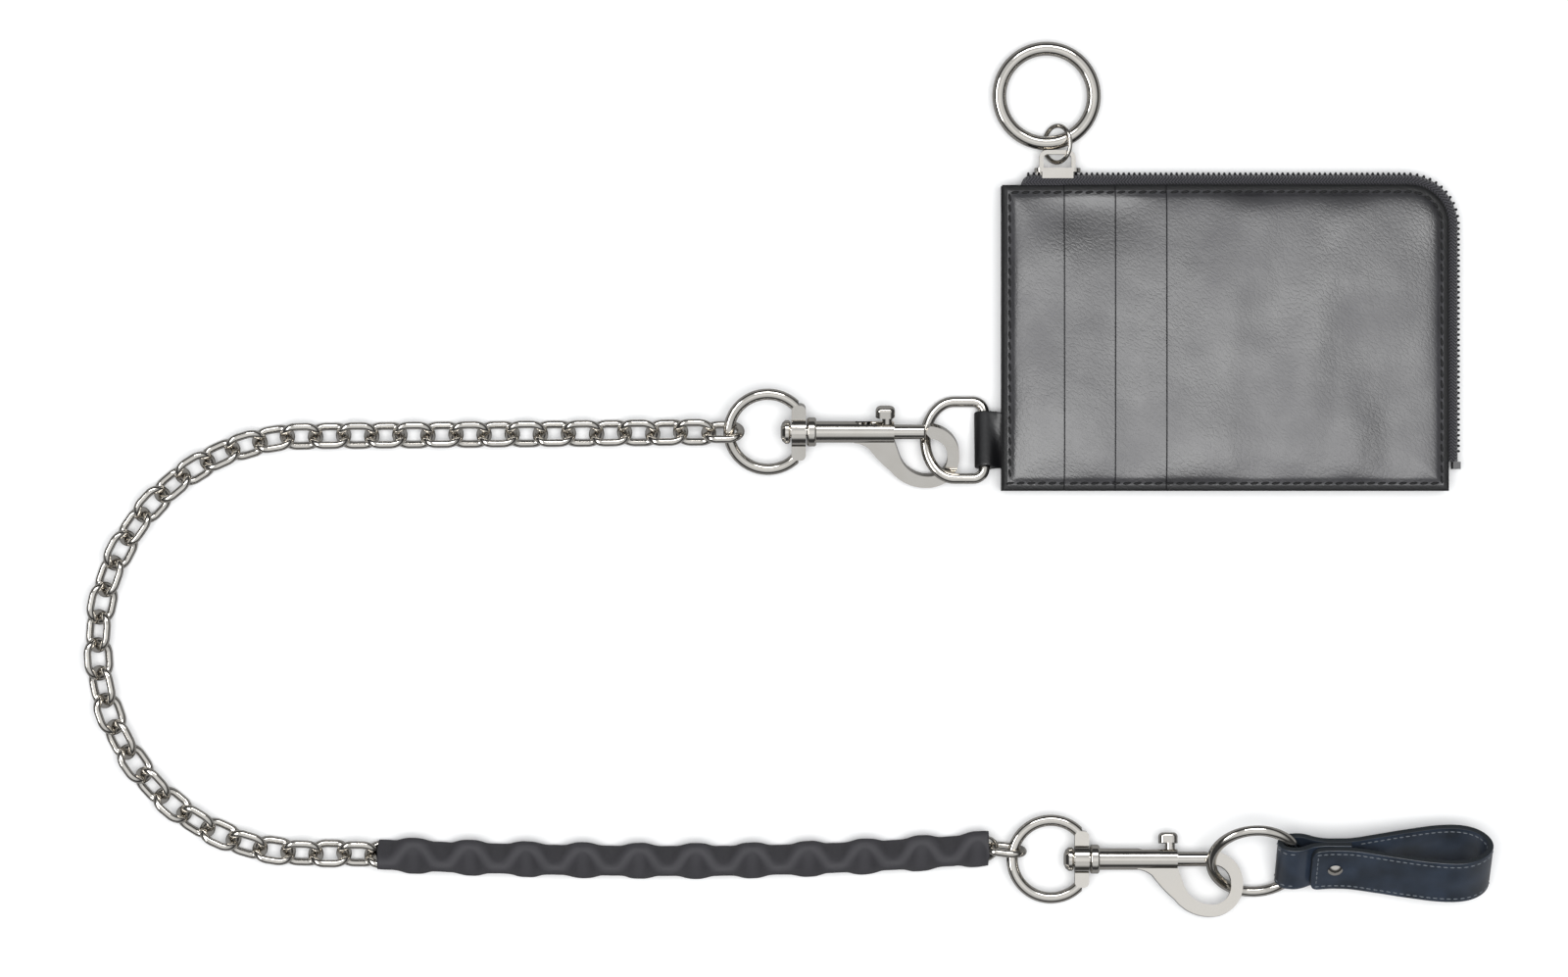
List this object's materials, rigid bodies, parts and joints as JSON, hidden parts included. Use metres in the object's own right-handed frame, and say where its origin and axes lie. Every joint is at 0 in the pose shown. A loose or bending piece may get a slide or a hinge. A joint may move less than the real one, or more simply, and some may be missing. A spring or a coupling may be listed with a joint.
{
  "type": "chain wallet",
  "caption": "Zipped leather card wallet with a D-ring tab, swivel bolt snaps, a cable chain with a rubber sleeve and a leather belt loop.",
  "frame": {"origin": "middle of the pouch's flat back face", "axes": "+X along the pouch's long side away from the D-ring tab, +Y towards the zip slider, +Z out of the card pockets"},
  "size_m": [0.4243, 0.2645, 0.0236],
  "materials": {
    "black_leather": "smooth black leather",
    "belt_leather": "smooth navy-black leather",
    "lining": "woven lining",
    "thread_black": "bonded thread",
    "thread_grey": "bonded thread",
    "zip_tape": "twill tape",
    "zip_coil": "nylon coil",
    "nickel": "polished nickel plate",
    "spring_steel": "spring wire",
    "sleeve_rubber": "shrunk rubber tube"
  },
  "bodies": {
    "wallet": {"back_panel": "black_leather", "front_panel": "black_leather", "card_panel_1": "black_leather", "card_panel_2": "black_leather", "card_panel_3": "black_leather", "gusset_low": "black_leather", "gusset_left": "black_leather", "lining_back": "lining", "lining_front": "lining", "divider_back": "black_leather", "divider_front": "black_leather", "wallet_stitching": "thread_black", "zip_tape_back": "zip_tape", "zip_coil_back": "zip_coil", "zip_tape_front": "zip_tape", "zip_coil_front": "zip_coil", "zip_lower_stop": "zip_coil", "tab_strap": "black_leather"},
    "slider": {"slider_shell": "nickel", "slider_bridge": "nickel"},
    "jump_ring": {"jump_ring": "nickel"},
    "pull_ring": {"pull_ring": "nickel"},
    "d_ring": {"d_ring": "nickel"},
    "snap_1_case": {"snap_1_case": "nickel", "snap_1_rivet": "nickel", "snap_1_spring": "spring_steel"},
    "snap_1_bolt": {"snap_1_bolt": "nickel", "snap_1_thumb_piece": "nickel"},
    "snap_1_eye": {"snap_1_eye": "nickel"},
    "chain_01": {"chain_01": "nickel"},
    "chain_02": {"chain_02": "nickel"},
    "chain_03": {"chain_03": "nickel"},
    "chain_04": {"chain_04": "nickel"},
    "chain_05": {"chain_05": "nickel"},
    "chain_06": {"chain_06": "nickel"},
    "chain_07": {"chain_07": "nickel"},
    "chain_08": {"chain_08": "nickel"},
    "chain_09": {"chain_09": "nickel"},
    "chain_10": {"chain_10": "nickel"},
    "chain_11": {"chain_11": "nickel"},
    "sleeve": {"sleeve": "sleeve_rubber", "sleeved_links": "nickel"},
    "end_link": {"end_link": "nickel"},
    "snap_2_eye": {"snap_2_eye": "nickel"},
    "snap_2_case": {"snap_2_case": "nickel", "snap_2_rivet": "nickel", "snap_2_spring": "spring_steel"},
    "snap_2_bolt": {"snap_2_bolt": "nickel", "snap_2_thumb_piece": "nickel"},
    "belt_ring": {"belt_ring": "nickel"},
    "belt_loop": {"belt_strap": "belt_leather", "belt_rivet_cap": "nickel", "belt_rivet_post": "nickel", "belt_stitching": "thread_grey"}
  },
  "joints": [
    {"name": "zip_slide", "type": "slide", "parent": "wallet", "child": "slider", "axis": [1, 0, 0], "range_m": [0, 0.09]},
    {"name": "jump_ring_swing", "type": "hinge", "parent": "slider", "child": "jump_ring", "pos_m": [-0.0504, 0.0562, 0.0049], "axis": [-0.7431, 0, 0.6691], "range_deg": [-8, 1]},
    {"name": "pull_ring_swing", "type": "hinge", "parent": "jump_ring", "child": "pull_ring", "pos_m": [-0.0536, 0.059, 0.0042], "axis": [1, 0, 0], "range_deg": [-18, 40]},
    {"name": "d_ring_swing", "type": "hinge", "parent": "wallet", "child": "d_ring", "pos_m": [-0.0725, -0.0308, 0.0049], "axis": [0, 0.9681, -0.2504], "range_deg": [-20, 60]},
    {"name": "snap_1_turn", "type": "hinge", "parent": "d_ring", "child": "snap_1_case", "pos_m": [-0.0815, -0.0308, 0.0049], "axis": [0, 0.2504, 0.9681], "range_deg": [-10, 10]},
    {"name": "snap_1_bolt_slide", "type": "slide", "parent": "snap_1_case", "child": "snap_1_bolt", "axis": [-1, 0, 0], "range_m": [0, 0.0078], "stiffness_N_per_m": 120, "springref_m": -0.012, "deforming": ["snap_1_spring"]},
    {"name": "snap_1_swivel", "type": "hinge", "parent": "snap_1_case", "child": "snap_1_eye", "pos_m": [-0.126, -0.02835, 0.0085], "axis": [1, 0, 0], "range_deg": [-165, 165]},
    {"name": "chain_01_turn", "type": "hinge", "parent": "snap_1_eye", "child": "chain_01", "pos_m": [-0.1495, -0.02835, 0.0085], "axis": [0, 0, 1], "range_deg": [-12, 12]},
    {"name": "chain_02_turn", "type": "hinge", "parent": "chain_01", "child": "chain_02", "pos_m": [-0.1557, -0.02843, 0.00796], "axis": [0, 0, 1], "range_deg": [-12, 12]},
    {"name": "chain_03_turn", "type": "hinge", "parent": "chain_02", "child": "chain_03", "pos_m": [-0.1897, -0.02876, 0.0042], "axis": [0, 0, -1], "range_deg": [-12, 12]},
    {"name": "chain_04_turn", "type": "hinge", "parent": "chain_03", "child": "chain_04", "pos_m": [-0.2237, -0.02908, 0.0042], "axis": [0, 0, 1], "range_deg": [-12, 12]},
    {"name": "chain_05_turn", "type": "hinge", "parent": "chain_04", "child": "chain_05", "pos_m": [-0.2577, -0.02941, 0.0042], "axis": [0, 0, -1], "range_deg": [-12, 12]},
    {"name": "chain_06_turn", "type": "hinge", "parent": "chain_05", "child": "chain_06", "pos_m": [-0.29159, -0.03111, 0.0042], "axis": [0, 0, 1], "range_deg": [-12, 12]},
    {"name": "chain_07_turn", "type": "hinge", "parent": "chain_06", "child": "chain_07", "pos_m": [-0.32117, -0.04706, 0.0042], "axis": [0, 0, -1], "range_deg": [-12, 12]},
    {"name": "chain_08_turn", "type": "hinge", "parent": "chain_07", "child": "chain_08", "pos_m": [-0.33838, -0.07594, 0.0042], "axis": [0, 0, 1], "range_deg": [-12, 12]},
    {"name": "chain_09_turn", "type": "hinge", "parent": "chain_08", "child": "chain_09", "pos_m": [-0.33834, -0.10955, 0.0042], "axis": [0, 0, -1], "range_deg": [-12, 12]},
    {"name": "chain_10_turn", "type": "hinge", "parent": "chain_09", "child": "chain_10", "pos_m": [-0.32105, -0.13838, 0.0042], "axis": [0, 0, 1], "range_deg": [-12, 12]},
    {"name": "chain_11_turn", "type": "hinge", "parent": "chain_10", "child": "chain_11", "pos_m": [-0.29141, -0.15425, 0.0042], "axis": [0, 0, -1], "range_deg": [-12, 12]},
    {"name": "sleeve_turn", "type": "hinge", "parent": "chain_11", "child": "sleeve", "pos_m": [-0.25752, -0.15595, 0.0052], "axis": [0, 0, 1], "range_deg": [-12, 12]},
    {"name": "end_link_turn", "type": "hinge", "parent": "sleeve", "child": "end_link", "pos_m": [-0.07035, -0.15408, 0.0052], "axis": [0, 0, -1], "range_deg": [-10, 12]},
    {"name": "snap_2_eye_turn", "type": "hinge", "parent": "end_link", "child": "snap_2_eye", "pos_m": [-0.0638, -0.1552, 0.00645], "axis": [0, 0, 1], "range_deg": [-8, 8]},
    {"name": "snap_2_swivel", "type": "hinge", "parent": "snap_2_eye", "child": "snap_2_case", "pos_m": [-0.0409, -0.15735, 0.00645], "axis": [1, 0, 0], "continuous": true},
    {"name": "snap_2_bolt_slide", "type": "slide", "parent": "snap_2_case", "child": "snap_2_bolt", "axis": [-1, 0, 0], "range_m": [0, 0.0078], "stiffness_N_per_m": 120, "springref_m": -0.012, "deforming": ["snap_2_spring"]},
    {"name": "belt_ring_turn", "type": "hinge", "parent": "snap_2_case", "child": "belt_ring", "pos_m": [0.00885, -0.1577, 0.0112], "axis": [0, -0.6691, 0.7431], "range_deg": [-20, 20]},
    {"name": "belt_loop_swing", "type": "hinge", "parent": "belt_ring", "child": "belt_loop", "pos_m": [0.02085, -0.1577, 0.0112], "axis": [0, 0.7431, 0.6691], "range_deg": [-10, 10]}
  ]
}
